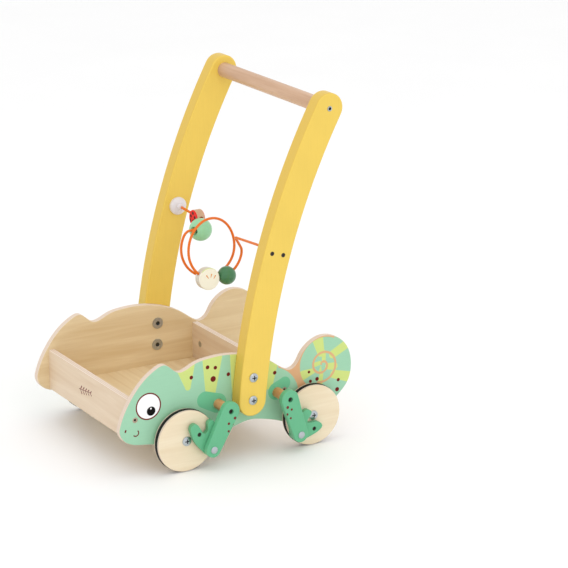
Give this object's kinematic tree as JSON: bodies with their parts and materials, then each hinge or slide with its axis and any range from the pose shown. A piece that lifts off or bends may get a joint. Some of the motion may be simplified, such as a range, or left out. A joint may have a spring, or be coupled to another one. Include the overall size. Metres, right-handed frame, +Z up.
{
  "type": "baby walker",
  "caption": "Wooden push-along walker in the shape of a chameleon, with an open block tray, curved push arms, a bead maze and legs that step as the wheels turn.",
  "frame": {"origin": "on the floor, at mid length and mid width of the whole walker", "axes": "+Z up, -Y towards the nose, +X towards the left side"},
  "size_m": [0.3308, 0.3546, 0.4841],
  "materials": {
    "panel_paint": "satin mint paint on birch plywood",
    "arm_paint": "satin yellow paint on wood",
    "board_wood": "clear lacquered plywood",
    "handle_wood": "clear lacquered beech",
    "dowel_wood": "clear lacquered beech",
    "wheel_wood": "clear lacquered plywood",
    "leg_paint": "satin green paint on plywood",
    "tyre": "matte rubber",
    "steel": "zinc plated",
    "dark_steel": "dark",
    "knob_plastic": "gloss white",
    "spacer_plastic": "matte",
    "wire_coating": "gloss orange coating on steel wire",
    "red_paint": "gloss paint on wood",
    "mint_paint": "gloss paint on wood",
    "cream_paint": "satin paint on wood",
    "green_paint": "gloss paint on wood"
  },
  "bodies": {
    "frame": {"left_side_panel": "panel_paint", "left_arm": "arm_paint", "left_maze_knob": "knob_plastic", "front_left_peg": "dowel_wood", "rear_left_peg": "dowel_wood", "right_side_panel": "panel_paint", "right_arm": "arm_paint", "right_maze_knob": "knob_plastic", "front_right_peg": "dowel_wood", "rear_right_peg": "dowel_wood", "front_board": "board_wood", "back_board": "board_wood", "tray_floor": "board_wood", "board_bolts": "steel", "barrel_nuts": "steel", "handle_screws": "steel", "arm_bolts": "steel", "arm_t_nuts": "steel", "axle_bolts": "steel", "axle_inserts": "steel", "hip_screws": "steel", "knob_screws": "dark_steel", "handle_bar": "handle_wood", "wheel_spacers": "spacer_plastic", "maze_wire": "wire_coating"},
    "front_left_wheel": {"front_left_wheel": "wheel_wood", "front_left_tyre": "tyre"},
    "front_right_wheel": {"front_right_wheel": "wheel_wood", "front_right_tyre": "tyre"},
    "rear_left_wheel": {"rear_left_wheel": "wheel_wood", "rear_left_tyre": "tyre"},
    "rear_right_wheel": {"rear_right_wheel": "wheel_wood", "rear_right_tyre": "tyre"},
    "front_left_leg": {"front_left_leg": "leg_paint", "front_left_rivet": "steel"},
    "front_right_leg": {"front_right_leg": "leg_paint", "front_right_rivet": "steel"},
    "rear_left_leg": {"rear_left_leg": "leg_paint", "rear_left_rivet": "steel"},
    "rear_right_leg": {"rear_right_leg": "leg_paint", "rear_right_rivet": "steel"},
    "front_left_foot": {"front_left_foot": "leg_paint", "front_left_crank_screw": "steel"},
    "front_right_foot": {"front_right_foot": "leg_paint", "front_right_crank_screw": "steel"},
    "rear_left_foot": {"rear_left_foot": "leg_paint", "rear_left_crank_screw": "steel"},
    "rear_right_foot": {"rear_right_foot": "leg_paint", "rear_right_crank_screw": "steel"},
    "ladybird": {"ladybird_bead": "red_paint"},
    "mint_ball": {"mint_ball_bead": "mint_paint"},
    "apple": {"apple_bead": "cream_paint"},
    "green_ball": {"green_ball_bead": "green_paint"}
  },
  "joints": [
    {"name": "front_left_wheel_spin", "type": "hinge", "parent": "frame", "child": "front_left_wheel", "pos_m": [0.139, -0.0875, 0.0425], "axis": [1, 0, 0], "continuous": true},
    {"name": "front_left_leg_swing", "type": "hinge", "parent": "frame", "child": "front_left_leg", "pos_m": [0.1589, -0.0305, 0.0787], "axis": [1, 0, 0], "range_deg": [-25, 10]},
    {"name": "front_left_foot_swing", "type": "hinge", "parent": "front_left_leg", "child": "front_left_foot", "pos_m": [0.1509, -0.0565, 0.03], "axis": [1, 0, 0], "range_deg": [-14, 32]},
    {"name": "front_right_wheel_spin", "type": "hinge", "parent": "frame", "child": "front_right_wheel", "pos_m": [-0.139, -0.0875, 0.0425], "axis": [1, 0, 0], "continuous": true},
    {"name": "front_right_leg_swing", "type": "hinge", "parent": "frame", "child": "front_right_leg", "pos_m": [-0.1589, -0.0305, 0.0787], "axis": [1, 0, 0], "range_deg": [-25, 10]},
    {"name": "front_right_foot_swing", "type": "hinge", "parent": "front_right_leg", "child": "front_right_foot", "pos_m": [-0.1509, -0.0565, 0.03], "axis": [1, 0, 0], "range_deg": [-14, 32]},
    {"name": "rear_left_wheel_spin", "type": "hinge", "parent": "frame", "child": "rear_left_wheel", "pos_m": [0.139, 0.1069, 0.0425], "axis": [1, 0, 0], "continuous": true},
    {"name": "rear_left_leg_swing", "type": "hinge", "parent": "frame", "child": "rear_left_leg", "pos_m": [0.1589, 0.06, 0.0785], "axis": [1, 0, 0], "range_deg": [-10, 23]},
    {"name": "rear_left_foot_swing", "type": "hinge", "parent": "rear_left_leg", "child": "rear_left_foot", "pos_m": [0.1509, 0.0771, 0.0255], "axis": [1, 0, 0], "range_deg": [-29.6, 14]},
    {"name": "rear_right_wheel_spin", "type": "hinge", "parent": "frame", "child": "rear_right_wheel", "pos_m": [-0.139, 0.1069, 0.0425], "axis": [1, 0, 0], "continuous": true},
    {"name": "rear_right_leg_swing", "type": "hinge", "parent": "frame", "child": "rear_right_leg", "pos_m": [-0.1589, 0.06, 0.0785], "axis": [1, 0, 0], "range_deg": [-10, 23]},
    {"name": "rear_right_foot_swing", "type": "hinge", "parent": "rear_right_leg", "child": "rear_right_foot", "pos_m": [-0.1509, 0.0771, 0.0255], "axis": [1, 0, 0], "range_deg": [-29.6, 14]},
    {"name": "ladybird_slide", "type": "slide", "parent": "frame", "child": "ladybird", "axis": [-0.9985, 0, 0.0545], "range_m": [0, 0.03]},
    {"name": "mint_ball_slide", "type": "slide", "parent": "frame", "child": "mint_ball", "axis": [0.3886, -0.9185, 0.0736], "range_m": [0, 0.008]},
    {"name": "apple_run", "type": "hinge", "parent": "frame", "child": "apple", "pos_m": [-0.00165, 0.03959, 0.24695], "axis": [0.9919, -0.0746, 0.1028], "range_deg": [-50, 0]},
    {"name": "green_ball_run", "type": "hinge", "parent": "frame", "child": "green_ball", "pos_m": [-0.00165, 0.03959, 0.24695], "axis": [0.9919, -0.0746, 0.1028], "range_deg": [0, 28]}
  ],
  "couplings": [
    {"joint": "front_left_foot_swing", "follows": "front_left_leg_swing", "ratio": -1.2},
    {"joint": "front_right_foot_swing", "follows": "front_right_leg_swing", "ratio": -1.2},
    {"joint": "rear_left_foot_swing", "follows": "rear_left_leg_swing", "ratio": -1.2},
    {"joint": "rear_right_foot_swing", "follows": "rear_right_leg_swing", "ratio": -1.2}
  ]
}
